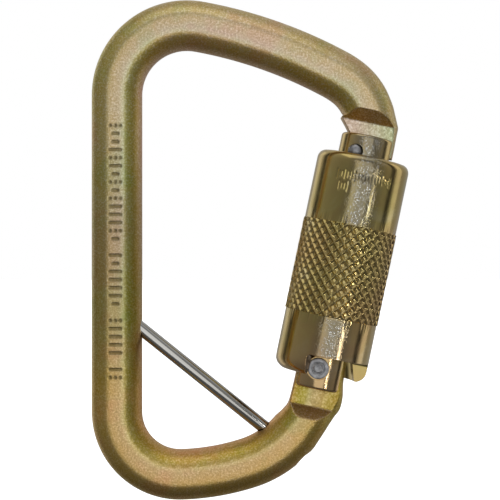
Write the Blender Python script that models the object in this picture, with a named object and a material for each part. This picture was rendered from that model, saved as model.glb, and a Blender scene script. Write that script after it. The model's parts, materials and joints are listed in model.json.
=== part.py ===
"""Steel offset-D connector with a spring-closed gate and a twist-lock barrel.

Metres, +Z up.  The connector hangs upright: the spine is on the left, the gate on
the right, and the origin is the inside of the top bow, where an anchor seats.
Small lengths are written in millimetres and turned into metres by MM.
"""
import math

import bmesh
import bpy
from mathutils import Vector

MM = 0.001

# ---- driving dimensions -------------------------------------------------------
BAR_R = 6.0                 # round steel bar the body is bent from
FLAT_Y = 5.67               # pressed flats on the bar's front and back
SPINE_TOP = 37.1            # straight spine above and below its middle
SPINE_BOTTOM = 38.1
TOP_BENDS = [(16.6, 100.3), (109.5, 18.1), (21.0, 10.0), (13.8, 53.5)]
BOTTOM_BENDS = [(15.0, 91.8), (57.7, 15.8), (24.1, 49.0)]
NOSE_RUN = 9.0              # straight end of the bar, cut down into the tongue

PIVOT_X = 31.06             # hinge rivet
PIVOT_Z = -75.17
GATE_TILT = math.radians(11.85)
AXIS_V = 0.8                # gate axis stands this far outside the rivet

TANG_Y = 2.8                # half thickness of the tang and of the nose tongue
SLOT_Y = 3.1                # half width of the gate's two slots
HINGE_SHOULDER_U = -9.3     # where the tang starts, from the rivet along the gate
NOSE_SHOULDER_U = 59.15
TONGUE_OUTER_V = 6.5
CAM_H = 4.9                 # tang top above the rivet with the gate shut
CAM_K = 2.2                 # plunger travel, mm for each radian of the gate

ROD_R = 6.4                 # gate
ROD_BOTTOM_U = -5.0
ROD_TOP_U = 56.0
FORK_CEILING_U = 7.4
NOSE_SLOT_FLOOR_U = 48.6
PIN_R = 1.65                # nose latch pin, from the gate axis and the rivet
PIN_V = -2.7
PIN_U = 51.7
RIVET_R = 2.0
RIVET_HEAD_R = 2.5
RIVET_FACE_Y = 6.5
PLUNGER_R = 2.9
PLUNGER_BORE_R = 3.2
PLUNGER_BORE_TOP_U = 27.0

SLEEVE_R = 11.0             # lock sleeve
KNURL_R = 11.25
KNURL_U = (12.5, 34.3)
SLEEVE_BOTTOM_U = -2.1
SLEEVE_TOP_U = 50.9
NOTCH_CEILING_U = 3.0
SLEEVE_BORE_R = 6.8
CHAMBER_R = 9.05
SHELF_U = 11.2
SKIRTS_DEG = [(270.0, 338.0), (90.0, 158.0)]
TWIST_DEG = 90.0
GUIDE_PIN_R = 1.2
GUIDE_PIN_U = 9.7
GUIDE_PIN_END = 8.3
RING_U = (43.8, 44.7)        # snap ring in the gate
RING_R = 7.6
BUSH_TOP_U = 49.6

SPRING_R = 7.6              # torsion spring between gate and sleeve
SPRING_WIRE_R = 0.5
SPRING_LOW_U = 12.0
SPRING_HIGH_U = 41.5
SPRING_TURNS = 12
LEG_HOLE_R = 0.85
RETURN_WIRE_R = 0.4         # gate return spring
RETURN_SPRING_R = 2.25
RETURN_TURNS = 8.5
PLUNGER_SEAT_U = 14.0       # shoulder the return spring stands on

CAPTIVE_R = 1.6             # captive eye bar
CAPTIVE_SLOPE = math.radians(38.7)
CAPTIVE_SPINE_Z = -61.5     # where its axis meets the spine's centre line
CAPTIVE_SPAN = (2.5, 55.6)  # its two ends along that axis

GAP = 0.3                   # between pieces that touch or are pressed together

TOP_INNER_R = TOP_BENDS[0][0] - BAR_R
SPINE_X = -TOP_BENDS[0][0]
SPINE_MID_Z = -TOP_INNER_R - SPINE_TOP


# ---- scene and helpers --------------------------------------------------------
def clear_scene():
    for obj in list(bpy.data.objects):
        bpy.data.objects.remove(obj, do_unlink=True)


def material(name, colour, roughness, metallic=1.0):
    mat = bpy.data.materials.new(name)
    mat.use_nodes = True
    shader = mat.node_tree.nodes["Principled BSDF"]
    shader.inputs["Base Color"].default_value = (*colour, 1.0)
    shader.inputs["Roughness"].default_value = roughness
    shader.inputs["Metallic"].default_value = metallic
    return mat


def add_object(name, bm, mat=None, parent=None, offset=(0.0, 0.0, 0.0)):
    """Make an object from a bmesh in millimetres; offset is in its parent, in mm."""
    bmesh.ops.recalc_face_normals(bm, faces=bm.faces)
    bmesh.ops.scale(bm, vec=(MM, MM, MM), verts=bm.verts)
    mesh = bpy.data.meshes.new(name)
    bm.to_mesh(mesh)
    bm.free()
    mesh.shade_smooth()
    mesh.set_sharp_from_angle(angle=math.radians(35))
    if mat:
        mesh.materials.append(mat)
    obj = bpy.data.objects.new(name, mesh)
    bpy.context.scene.collection.objects.link(obj)
    obj.location = Vector(offset) * MM
    obj.parent = parent
    return obj


def add_frame(name, location, tilt=0.0, parent=None):
    """An empty that carries the pieces of one moving body."""
    empty = bpy.data.objects.new(name, None)
    bpy.context.scene.collection.objects.link(empty)
    empty.location = Vector(location) * MM
    empty.rotation_euler = (0.0, tilt, 0.0)
    empty.parent = parent
    return empty


def subtract(obj, cutter):
    cutter.hide_render = True
    cutter.display_type = 'WIRE'
    cut = obj.modifiers.new("cut_" + cutter.name, 'BOOLEAN')
    cut.operation = 'DIFFERENCE'
    cut.solver = 'EXACT'
    cut.object = cutter


def unite(obj, other):
    other.hide_render = True
    other.display_type = 'WIRE'
    join = obj.modifiers.new("add_" + other.name, 'BOOLEAN')
    join.operation = 'UNION'
    join.solver = 'EXACT'
    join.object = other


def arc(centre, radius, start_deg, end_deg, steps):
    """Points along an arc, in the plane of the outline."""
    points = []
    for i in range(steps + 1):
        t = math.radians(start_deg + (end_deg - start_deg) * i / steps)
        points.append((centre[0] + radius * math.cos(t), centre[1] + radius * math.sin(t)))
    return points


def prism(outline, low, high, place):
    """Extrude an outline; place(a, b, depth) turns its points into x, y, z."""
    bm = bmesh.new()
    near = [bm.verts.new(place(a, b, low)) for a, b in outline]
    far = [bm.verts.new(place(a, b, high)) for a, b in outline]
    bm.faces.new(near)
    bm.faces.new(list(reversed(far)))
    for i in range(len(outline)):
        j = (i + 1) % len(outline)
        bm.faces.new((near[j], near[i], far[i], far[j]))
    return bm


def along_y(a, b, depth):
    return (a, depth, b)


def along_x(a, b, depth):
    return (depth, b, a)


def along_z(a, b, depth):
    return (a, b, depth)


def turned(profile, sides):
    """Spin a closed (radius, height) outline round Z; radius 0 is a pole."""
    bm = bmesh.new()
    rings = []
    for radius, height in profile:
        if radius == 0.0:
            rings.append([bm.verts.new((0.0, 0.0, height))])
            continue
        ring = []
        for i in range(sides):
            t = 2.0 * math.pi * i / sides
            ring.append(bm.verts.new((radius * math.cos(t), radius * math.sin(t), height)))
        rings.append(ring)
    closed = len(rings[0]) > 1
    last = len(rings) if closed else len(rings) - 1
    for k in range(last):
        low, high = rings[k], rings[(k + 1) % len(rings)]
        for i in range(sides):
            j = (i + 1) % sides
            loop = [low[i % len(low)], low[j % len(low)], high[j % len(high)], high[i % len(high)]]
            bm.faces.new(list(dict.fromkeys(loop)))
    return bm


def pin(radius, low, high, sides, dome=0.0):
    """A pin along Z, with its edges rounded by dome."""
    if dome == 0.0:
        return turned([(0.0, low), (radius, low), (radius, high), (0.0, high)], sides)
    half = 0.72 * radius
    profile = [(0.0, low), (half, low + 0.28 * dome), (radius, low + dome)]
    profile += [(radius, high - dome), (half, high - 0.28 * dome), (0.0, high)]
    return turned(profile, sides)


def turn_to(bm, direction):
    """Point a mesh that was made along Z along another direction."""
    turn = Vector((0.0, 0.0, 1.0)).rotation_difference(Vector(direction))
    bmesh.ops.rotate(bm, cent=(0.0, 0.0, 0.0), matrix=turn.to_matrix(), verts=bm.verts)
    return bm


def tube(points, radius, sides):
    """A round wire through a list of points."""
    bm = bmesh.new()
    rings = []
    normal = Vector((0.0, 0.0, 1.0))
    for i, point in enumerate(points):
        ahead = points[min(i + 1, len(points) - 1)] - points[max(i - 1, 0)]
        ahead.normalize()
        side = ahead.cross(normal)
        if side.length < 0.5:
            side = ahead.cross(Vector((point.x, point.y, 0.0)))
        side.normalize()
        up = side.cross(ahead)
        ring = []
        for k in range(sides):
            t = 2.0 * math.pi * k / sides
            ring.append(bm.verts.new(point + radius * (math.cos(t) * side + math.sin(t) * up)))
        rings.append(ring)
    for low, high in zip(rings, rings[1:]):
        for k in range(sides):
            j = (k + 1) % sides
            bm.faces.new((low[k], low[j], high[j], high[k]))
    bm.faces.new(list(reversed(rings[0])))
    bm.faces.new(rings[-1])
    return bm


def helix(radius, low, high, turns, steps):
    """Points of a coil round Z; its end coils lie flat."""
    count = int(turns * steps)
    points = []
    for i in range(count + 1):
        turn = turns * i / count
        share = min(max((turn - 0.75) / (turns - 1.5), 0.0), 1.0)
        t = 2.0 * math.pi * turn
        height = low + (high - low) * share
        points.append(Vector((radius * math.cos(t), radius * math.sin(t), height)))
    return points


# ---- body ---------------------------------------------------------------------
def bar_section():
    """The bar's outline across its run: round, with a flat at the front and back."""
    edge = math.degrees(math.asin(FLAT_Y / BAR_R))
    return arc((0.0, 0.0), BAR_R, -edge, edge, 10) + arc((0.0, 0.0), BAR_R, 180 - edge, 180 + edge, 10)


def bend_run(start, heading_deg, bends, side, last_run):
    """Centre-line points and headings through a row of bends."""
    x, z = start
    heading = math.radians(heading_deg)
    stations = []
    for radius, angle in bends:
        steps = round(max(angle / 7.5, radius * math.radians(angle) / 4.5))
        step = side * math.radians(angle) / steps
        for _ in range(steps):
            chord = 2.0 * radius * math.sin(abs(step) / 2.0)
            x += chord * math.cos(heading + step / 2.0)
            z += chord * math.sin(heading + step / 2.0)
            heading += step
            stations.append((x, z, heading))
    if last_run:
        x += last_run * math.cos(heading)
        z += last_run * math.sin(heading)
        stations.append((x, z, heading))
    return stations


def centre_line():
    """The bar's centre line from the hinge end, round the spine, to the nose."""
    top_start = (SPINE_X, SPINE_MID_Z + SPINE_TOP)
    bottom_start = (SPINE_X, SPINE_MID_Z - SPINE_BOTTOM)
    top = bend_run(top_start, 90.0, TOP_BENDS, -1, NOSE_RUN)
    bottom = bend_run(bottom_start, -90.0, BOTTOM_BENDS, 1, 0.0)
    up = math.radians(90.0)
    line = [(x, z, heading + math.pi) for x, z, heading in reversed(bottom)]
    line += [(*bottom_start, up), (*top_start, up)]
    return line + top


def bent_bar():
    bm = bmesh.new()
    section = bar_section()
    rings = []
    for x, z, heading in centre_line():
        nx, nz = math.sin(heading), -math.cos(heading)
        rings.append([bm.verts.new((x + n * nx, y, z + n * nz)) for n, y in section])
    for low, high in zip(rings, rings[1:]):
        for i in range(len(section)):
            j = (i + 1) % len(section)
            bm.faces.new((low[i], low[j], high[j], high[i]))
    bm.faces.new(list(reversed(rings[0])))
    bm.faces.new(rings[-1])
    return bm


def cam_outline():
    """The tang, from the gate axis: straight inner side, cam top, coined outer side."""
    points = [(-2.0, -15.0), (-5.5, -11.5)]
    open_to = math.radians(38.0)
    steps = 8
    for i in range(steps + 1):
        beta = open_to * (1.0 - i / steps)
        lift = CAM_H + CAM_K * beta
        v = -lift * math.sin(beta) - CAM_K * math.cos(beta)
        u = lift * math.cos(beta) - CAM_K * math.sin(beta)
        points.append((max(v - AXIS_V, -5.5), u))
    points += arc((1.6, CAM_H - 4.2), 4.2, 90.0, 5.0, 6)
    return points + [(6.2, -4.0), (6.8, -8.2), (5.8, -10.6), (3.6, -15.0)]


def shoulder_outline(line_u, deep_u, up):
    """One milled face: flat at the tang's side, then out through the bar at 45 degrees."""
    outside = 8.0
    slope_end = line_u - up * (outside - TANG_Y)
    return [(line_u, TANG_Y), (slope_end, outside), (deep_u, outside), (deep_u, TANG_Y)]


def nose_outline():
    """What is milled away round the nose tongue, from the gate axis and the rivet."""
    pivot = (-AXIS_V, 0.0)
    under_toe = 52.2
    over_pin = PIN_U + PIN_R + GAP + 0.1
    seat = PIN_R + GAP
    corner_u = NOSE_SHOULDER_U + 0.6
    outline = [(-12.0, corner_u), (-12.0, 46.0), (12.0, 46.0), (12.0, corner_u), (TONGUE_OUTER_V, corner_u)]
    reach = math.degrees(math.acos((TONGUE_OUTER_V + AXIS_V) / under_toe))
    toe = math.degrees(math.acos((PIN_V + seat + AXIS_V - 0.05) / under_toe))
    outline += arc(pivot, under_toe, reach, toe, 4)
    outline += arc((PIN_V, PIN_U), seat, 40.0, 90.0, 3)
    outline += [(-3.0, over_pin), (-7.7, corner_u)]
    return outline


def make_body(yellow_zinc, gate_frame):
    body = add_object("body_frame", bent_bar(), yellow_zinc)
    axis = (AXIS_V, 0.0, 0.0)
    thick = TANG_Y + 0.2
    unite(body, add_object("tang_blank", prism(cam_outline(), -thick, thick, along_y), None,
                           gate_frame, axis))
    for side, name in ((-1, "front"), (1, "back")):
        hinge = [(u, side * y) for u, y in shoulder_outline(HINGE_SHOULDER_U, 12.0, 1)]
        nose = [(u, side * y) for u, y in shoulder_outline(NOSE_SHOULDER_U, 44.0, -1)]
        subtract(body, add_object("hinge_mill_" + name, prism(hinge, -13.0, 13.0, along_x), None,
                                  gate_frame, axis))
        subtract(body, add_object("nose_mill_" + name, prism(nose, -13.0, 13.0, along_x), None,
                                  gate_frame, axis))
    subtract(body, add_object("nose_outline", prism(nose_outline(), -9.0, 9.0, along_y), None,
                              gate_frame, axis))
    rivet_hole = turn_to(pin(RIVET_R + GAP, -8.0, 8.0, 24), (0.0, 1.0, 0.0))
    subtract(body, add_object("tang_hole", rivet_hole, None, gate_frame))
    low, high = CAPTIVE_SPAN
    drill = pin(CAPTIVE_R + GAP, low - 0.6, high + 9.0, 20)
    subtract(body, add_object("captive_drill", captive_placed(drill)))


def captive_placed(bm):
    turn_to(bm, (math.cos(CAPTIVE_SLOPE), 0.0, -math.sin(CAPTIVE_SLOPE)))
    bmesh.ops.translate(bm, vec=(SPINE_X, 0.0, CAPTIVE_SPINE_Z), verts=bm.verts)
    return bm


def make_captive_bar(bright_steel):
    low, high = CAPTIVE_SPAN
    add_object("captive_bar", captive_placed(pin(CAPTIVE_R, low, high, 20, 0.3)), bright_steel)


# ---- gate and what rides on it ----------------------------------------------------
def box(v, y, u):
    return prism([(v[0], u[0]), (v[1], u[0]), (v[1], u[1]), (v[0], u[1])], y[0], y[1], along_y)


def make_gate(yellow_zinc, frame):
    edge = 0.8
    foot, top = ROD_BOTTOM_U, ROD_TOP_U
    groove = (RING_U[0] - GAP, RING_U[1] + GAP)
    ring_seat = ROD_R - 0.8
    profile = [(0.0, foot), (ROD_R - edge, foot), (ROD_R - 0.25, foot + 0.25), (ROD_R, foot + edge)]
    profile += [(ROD_R, groove[0]), (ring_seat, groove[0]), (ring_seat, groove[1]), (ROD_R, groove[1])]
    profile += [(ROD_R, top - edge), (ROD_R - 0.25, top - 0.25), (ROD_R - edge, top), (0.0, top)]
    axis = (AXIS_V, 0.0, 0.0)
    gate = add_object("gate", turned(profile, 48), yellow_zinc, frame, axis)
    wide = ROD_R + 3.0
    fork = box((-wide, wide), (-SLOT_Y, SLOT_Y), (foot - 2.0, FORK_CEILING_U))
    nose = box((1.2 - ROD_R, wide), (-SLOT_Y, SLOT_Y), (NOSE_SLOT_FLOOR_U, top + 2.0))
    subtract(gate, add_object("fork_slot", fork, None, frame, axis))
    subtract(gate, add_object("nose_slot", nose, None, frame, axis))
    bore = [(0.0, FORK_CEILING_U - 1.0), (PLUNGER_BORE_R, FORK_CEILING_U - 1.0)]
    bore += [(PLUNGER_BORE_R, PLUNGER_BORE_TOP_U), (0.0, PLUNGER_BORE_TOP_U + 1.4)]
    subtract(gate, add_object("plunger_bore", turned(bore, 24), None, frame))
    rivet = turn_to(pin(RIVET_R + GAP, -9.0, 9.0, 24), (0.0, 1.0, 0.0))
    subtract(gate, add_object("rivet_hole", rivet, None, frame))
    for side, name in ((-1, "front"), (1, "back")):
        seat = turn_to(pin(RIVET_HEAD_R + GAP, 5.3, 9.0, 24), (0.0, side, 0.0))
        subtract(gate, add_object("rivet_seat_" + name, seat, None, frame))
    latch = turn_to(pin(PIN_R + 0.25, -9.0, 9.0, 20), (0.0, 1.0, 0.0))
    subtract(gate, add_object("latch_hole", latch, None, frame, (AXIS_V + PIN_V, 0.0, PIN_U)))
    guide = turn_to(pin(GUIDE_PIN_R + 0.25, 3.9, 9.0, 16), (0.0, 1.0, 0.0))
    subtract(gate, add_object("guide_hole", guide, None, frame, (AXIS_V, 0.0, GUIDE_PIN_U)))
    leg = turn_to(pin(LEG_HOLE_R, 4.0, 9.0, 12), (1.0, 0.0, 0.0))
    subtract(gate, add_object("leg_hole", leg, None, frame, (AXIS_V, 0.0, SPRING_HIGH_U)))


def make_hinge_rivet(grey_steel, frame):
    neck, head = 5.6, RIVET_FACE_Y
    profile = [(0.0, -head), (RIVET_HEAD_R - 0.4, -head), (RIVET_HEAD_R, -head + 0.35)]
    profile += [(RIVET_HEAD_R, -neck), (RIVET_R, -neck), (RIVET_R, neck), (RIVET_HEAD_R, neck)]
    profile += [(RIVET_HEAD_R, head - 0.35), (RIVET_HEAD_R - 0.4, head), (0.0, head)]
    add_object("hinge_rivet", turn_to(turned(profile, 24), (0.0, 1.0, 0.0)), grey_steel, frame)


def make_latch_pin(bright_steel, frame):
    bm = turn_to(pin(PIN_R, -6.35, 6.35, 20, 0.7), (0.0, 1.0, 0.0))
    add_object("nose_latch_pin", bm, bright_steel, frame, (AXIS_V + PIN_V, 0.0, PIN_U))


def make_guide_pin(bright_steel, frame):
    bm = turn_to(pin(GUIDE_PIN_R, 4.2, GUIDE_PIN_END, 16, 0.25), (0.0, 1.0, 0.0))
    add_object("sleeve_guide_pin", bm, bright_steel, frame, (AXIS_V, 0.0, GUIDE_PIN_U))


def make_retaining_ring(spring_steel, frame):
    """An open snap ring in the gate's groove; it holds the sleeve up off the hinge."""
    half_mouth = 28.0
    outer = arc((0.0, 0.0), RING_R, half_mouth, 360.0 - half_mouth, 28)
    inner = arc((0.0, 0.0), ROD_R - 0.5, 360.0 - half_mouth, half_mouth, 28)
    bm = prism(outer + inner, RING_U[0], RING_U[1], along_z)
    add_object("sleeve_retaining_ring", bm, spring_steel, frame, (AXIS_V, 0.0, 0.0))


def make_plunger(grey_steel, frame):
    foot = CAM_H + GAP
    top = PLUNGER_SEAT_U
    profile = [(0.0, foot), (PLUNGER_R - 0.3, foot), (PLUNGER_R, foot + 0.3), (PLUNGER_R, top)]
    profile += [(1.5, top), (1.3, top + 2.5), (0.0, top + 2.5)]
    add_object("gate_plunger", turned(profile, 24), grey_steel, frame)


def make_return_spring(spring_steel, frame):
    clear = GAP + RETURN_WIRE_R
    points = helix(RETURN_SPRING_R, PLUNGER_SEAT_U + clear, PLUNGER_BORE_TOP_U - clear, RETURN_TURNS, 12)
    add_object("gate_return_spring", tube(points, RETURN_WIRE_R, 6), spring_steel, frame)


# ---- lock sleeve and what turns with it ---------------------------------------------
def sleeve_profile():
    """Half section of the sleeve: outside, top rim, spring chamber, bearing, flared skirt."""
    foot, top = SLEEVE_BOTTOM_U, SLEEVE_TOP_U
    outside = [(8.9, foot), (9.75, foot + 0.95), (10.4, foot + 2.0), (10.85, foot + 3.0)]
    outside += [(SLEEVE_R, foot + 3.9)]
    outside += [(SLEEVE_R, KNURL_U[0] - 0.25), (KNURL_R, KNURL_U[0]), (KNURL_R, KNURL_U[1])]
    outside += [(SLEEVE_R, KNURL_U[1] + 0.25), (SLEEVE_R, top - 1.7)]
    outside += [(10.75, top - 0.9), (10.3, top - 0.35), (9.6, top)]
    inside = [(CHAMBER_R, top), (CHAMBER_R, SHELF_U), (SLEEVE_BORE_R, SHELF_U)]
    inside += [(SLEEVE_BORE_R, 4.6), (7.1, NOTCH_CEILING_U), (8.5, foot)]
    return outside + inside


def sector(start_deg, end_deg, inner, outer):
    """A slice of a ring seen along Z; 0 degrees is the front, 90 the outer side."""
    steps = max(2, int((end_deg - start_deg) / 10.0))
    points = arc((0.0, 0.0), outer, start_deg - 90.0, end_deg - 90.0, steps)
    if inner == 0.0:
        return points + [(0.0, 0.0)]
    return points + arc((0.0, 0.0), inner, end_deg - 90.0, start_deg - 90.0, steps)


def make_sleeve(yellow_zinc, frame):
    sleeve = add_object("lock_sleeve", turned(sleeve_profile(), 64), yellow_zinc, frame)
    (left_start, left_end), (right_start, right_end) = SKIRTS_DEG
    for name, start, end in (("front", left_end - 360.0, right_start), ("back", right_end, left_start)):
        bm = prism(sector(start, end, 0.0, 15.0), SLEEVE_BOTTOM_U - 2.0, NOTCH_CEILING_U, along_z)
        subtract(sleeve, add_object("notch_" + name, bm, None, frame))
    spare = 11.5
    recess = sector(180.0 - spare, 180.0 + TWIST_DEG + spare, SLEEVE_BORE_R - 0.6, GUIDE_PIN_END + 0.4)
    bm = prism(recess, GUIDE_PIN_U - GUIDE_PIN_R - GAP, SHELF_U + 1.0, along_z)
    subtract(sleeve, add_object("stop_recess", bm, None, frame))
    leg = pin(LEG_HOLE_R, SHELF_U - 3.0, SHELF_U + 1.0, 12)
    subtract(sleeve, add_object("shelf_hole", leg, None, frame, (SPRING_R, 0.0, 0.0)))


def make_top_bush(yellow_zinc, frame):
    inner, outer = ROD_R + 0.35, CHAMBER_R - GAP
    low, high = RING_U[1] + 0.4, BUSH_TOP_U
    profile = [(outer, low), (outer, high - 0.3), (outer - 0.3, high)]
    profile += [(inner + 0.3, high), (inner, high - 0.3), (inner, low)]
    add_object("sleeve_top_bush", turned(profile, 48), yellow_zinc, frame)


def make_torsion_spring(spring_steel, frame):
    """Coil between rod and sleeve: one leg down into the shelf, one leg in to the rod."""
    coil = helix(SPRING_R, SPRING_LOW_U, SPRING_HIGH_U, SPRING_TURNS, 14)
    bend = 0.9
    start, end = coil[0], coil[-1]
    lower = [Vector((start.x, 0.0, SHELF_U - 2.4)), Vector((start.x, 0.0, SPRING_LOW_U - bend))]
    upper = [Vector((end.x, -bend, end.z)), Vector((end.x - 0.5 * bend, -0.15, end.z))]
    upper += [Vector((end.x - 1.5 * bend, 0.1, end.z)), Vector((4.6, 0.1, end.z))]
    points = lower + [Vector((start.x, 0.25, SPRING_LOW_U - 0.25))] + coil[1:-1] + upper
    add_object("sleeve_torsion_spring", tube(points, SPRING_WIRE_R, 6), spring_steel, frame)


# ---- assembly -------------------------------------------------------------------------
def main():
    clear_scene()
    yellow_zinc = material("yellow_zinc_body", (0.46, 0.38, 0.20), 0.38)
    polished_zinc = material("yellow_zinc_polished", (0.42, 0.35, 0.18), 0.22)
    bright_steel = material("bright_steel", (0.62, 0.62, 0.62), 0.20)
    grey_steel = material("grey_steel", (0.33, 0.33, 0.34), 0.45)
    spring_steel = material("spring_steel", (0.45, 0.46, 0.48), 0.30)

    gate_frame = add_frame("gate_pivot_frame", (PIVOT_X, 0.0, PIVOT_Z), GATE_TILT)
    barrel_frame = add_frame("barrel_axis_frame", (AXIS_V, 0.0, 0.0), 0.0, gate_frame)

    make_body(yellow_zinc, gate_frame)
    make_captive_bar(bright_steel)
    make_gate(polished_zinc, gate_frame)
    make_hinge_rivet(grey_steel, gate_frame)
    make_latch_pin(bright_steel, gate_frame)
    make_guide_pin(bright_steel, gate_frame)
    make_retaining_ring(spring_steel, gate_frame)
    make_plunger(grey_steel, gate_frame)
    make_return_spring(spring_steel, gate_frame)
    make_sleeve(polished_zinc, barrel_frame)
    make_top_bush(polished_zinc, barrel_frame)
    make_torsion_spring(spring_steel, barrel_frame)


main()
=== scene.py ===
"""Looks of the twist-lock connector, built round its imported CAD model.

Small lengths are in millimetres.  Two local frames are used: the body's, which is the
frame of the CAD model, and the gate's, which stands on the hinge rivet with its Z up
the gate.  In the gate's frame a place is given by v (outwards), y and u (up the gate).
"""
import json
import math
import random

import bmesh
import bpy
from mathutils import Matrix, Vector


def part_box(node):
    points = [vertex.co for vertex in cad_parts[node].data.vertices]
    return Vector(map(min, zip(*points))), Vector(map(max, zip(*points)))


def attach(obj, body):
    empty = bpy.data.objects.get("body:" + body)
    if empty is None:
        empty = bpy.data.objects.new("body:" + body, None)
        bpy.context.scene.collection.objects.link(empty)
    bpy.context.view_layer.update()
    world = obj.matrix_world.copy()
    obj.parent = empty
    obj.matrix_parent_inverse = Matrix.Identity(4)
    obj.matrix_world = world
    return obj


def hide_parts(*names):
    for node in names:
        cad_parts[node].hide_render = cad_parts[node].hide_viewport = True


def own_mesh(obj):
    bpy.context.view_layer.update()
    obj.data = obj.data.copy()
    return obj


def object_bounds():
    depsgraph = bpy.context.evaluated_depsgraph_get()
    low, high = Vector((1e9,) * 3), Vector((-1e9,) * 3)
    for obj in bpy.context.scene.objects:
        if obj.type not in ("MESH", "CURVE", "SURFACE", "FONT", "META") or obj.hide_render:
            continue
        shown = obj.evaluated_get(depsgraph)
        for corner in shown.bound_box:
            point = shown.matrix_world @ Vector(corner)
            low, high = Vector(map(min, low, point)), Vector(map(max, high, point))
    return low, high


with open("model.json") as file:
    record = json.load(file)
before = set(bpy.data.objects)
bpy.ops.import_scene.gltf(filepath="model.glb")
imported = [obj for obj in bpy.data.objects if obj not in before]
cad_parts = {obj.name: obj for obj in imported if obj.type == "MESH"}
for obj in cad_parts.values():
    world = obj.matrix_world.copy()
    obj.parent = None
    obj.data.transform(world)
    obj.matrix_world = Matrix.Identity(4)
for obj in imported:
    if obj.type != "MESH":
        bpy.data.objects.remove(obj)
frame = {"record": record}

CAD_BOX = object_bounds()
MM = 0.001

JOINTS = {joint["name"]: joint for joint in frame["record"]["behaviour"]["joints"]}
PIVOT = Vector(JOINTS["gate_hinge"]["pos_m"])
UP = -Vector(JOINTS["sleeve_twist"]["axis"]).normalized()
OUT = Vector((UP.z, 0.0, -UP.x))
GATE_PLACE = Matrix.Translation(PIVOT) @ Matrix((OUT, (0.0, 1.0, 0.0), UP)).transposed().to_4x4()
AXIS_V = (Vector(JOINTS["sleeve_twist"]["pos_m"]) - PIVOT).dot(OUT) / MM
BARREL_PLACE = GATE_PLACE @ Matrix.Translation((AXIS_V * MM, 0.0, 0.0))

# ---- sizes of the body, as bent
BAR_R = 6.0
FLAT_Y = 5.67
FLAT_EDGE = 0.3         # rounding where a flat meets the round of the bar
STATION_PITCH = 0.8     # along the bends
SPINE_ROWS = 376
SPINE_TOP = 37.1
SPINE_BOTTOM = 38.1
TOP_BENDS = [(16.6, 100.3), (109.5, 18.1), (21.0, 10.0), (13.8, 24.7)]
BOTTOM_BENDS = [(15.0, 91.8), (57.7, 15.8), (24.1, 32.7)]
SPINE_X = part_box("body_frame")[0].x / MM + BAR_R
SPINE_MID_Z = SPINE_X + BAR_R - SPINE_TOP
TANG_Y = 2.8
TANG_EDGE = 0.15
MILL_EDGE = 0.22        # rounding of a milled face's rim
STEP_FILLET = 0.4       # rounding between a milled face and its step
CORNER_INSET = 0.16     # rounding of the squared tongue's corners
SIDE_SPREAD = 0.09      # share by which its sides spread between them
ON_FACE = 0.12          # a place this near a face counts as on it
HINGE_SHOULDER_U = -9.3
NOSE_SHOULDER_U = 59.1
STAMP_DEPTH = 0.17
STAMP_PITCH = 1.9
STAMP_SEED = 12
CHORD = math.sqrt(BAR_R ** 2 - TANG_Y ** 2)
CAM_H = 4.9
CAM_K = 2.2             # millimetres that the cam lifts for each radian
CAM_FLAT_V = 1.6
CAM_ROUND_R = 4.2
TOE_R = 52.2            # from the rivet to the nose's underside
PIN_V = -2.7
PIN_U = 51.7
PIN_R = 1.65
CAPTIVE_R = 1.6
CAPTIVE_HOLE_R = 1.9
COUNTERBORE_R = 2.7
CAPTIVE_SLOPE_DEG = 38.7

# ---- sizes of the gate and the sleeve
ROD_R = 6.4
ROD_BOTTOM_U = -5.0
ROD_TOP_U = 56.0
SLOT_Y = 3.1
RIVET_HOLE_R = 2.3
RIVET_HEAD_Y = 6.5
RIVET_SEAT_R = 2.75
RIVET_SEAT_Y = 5.35
GATE_BORE_R = 3.2
GATE_BORE_TOP_U = 27.0
SPRING_FOOT_U = 14.3
GUIDE_PIN_R = 1.2
GUIDE_PIN_U = 9.7
SLEEVE_R = 11.0
SLEEVE_BORE_R = 6.8
CHAMBER_R = 9.05        # the sleeve's spring chamber
SHELF_U = 11.2          # its floor
SLEEVE_TOP_U = 50.9
SLEEVE_BOTTOM_U = -1.7
NOTCH_CEILING_U = 3.0
KNURL_U = (12.5, 34.3)
KNURL_ROWS = 120
KNURL_CREST_R = 11.25
KNURL_PIT_R = SLEEVE_R - 0.24
KNURL_STARTS = 31
KNURL_SLOPES_DEG = (41.0, 43.0)
RIDGE_WIDTH = 0.26      # of the knurl's pitch
TICKS_FROM_U = 40.5
TICK_DEPTH = 0.12
TICK_HALF_WIDTH = 0.34
COLUMNS = 480
SKIRTS = ((270.0, 337.5), (90.0, 157.5))
NOTCH_FILLET = 0.9


# ---- mesh helpers
def add_object(name, bm, place=Matrix.Identity(4)):
    """Turn a bmesh in millimetres into an object in metres."""
    bmesh.ops.recalc_face_normals(bm, faces=bm.faces)
    bmesh.ops.scale(bm, vec=(MM, MM, MM), verts=bm.verts)
    mesh = bpy.data.meshes.new(name)
    bm.to_mesh(mesh)
    bm.free()
    obj = bpy.data.objects.new(name, mesh)
    bpy.context.scene.collection.objects.link(obj)
    obj.matrix_world = place
    return obj


def shade(mesh, sharp_deg=30.0):
    mesh.shade_smooth()
    mesh.set_sharp_from_angle(angle=math.radians(sharp_deg))


def piece(name, bm, material, body, replaces, place=Matrix.Identity(4), sharp_deg=30.0):
    """Finish a bmesh as a piece that rides on a CAD body and replaces a CAD node."""
    obj = add_object(name, bm, place)
    shade(obj.data, sharp_deg)
    obj.data.materials.append(material)
    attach(obj, body)
    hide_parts(replaces)
    return obj


def arc(centre, radius, start_deg, end_deg, steps):
    """Points along an arc in a plane, both ends included."""
    turns = [math.radians(start_deg + (end_deg - start_deg) * i / steps) for i in range(steps + 1)]
    return [(centre[0] + radius * math.cos(t), centre[1] + radius * math.sin(t)) for t in turns]


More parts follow.
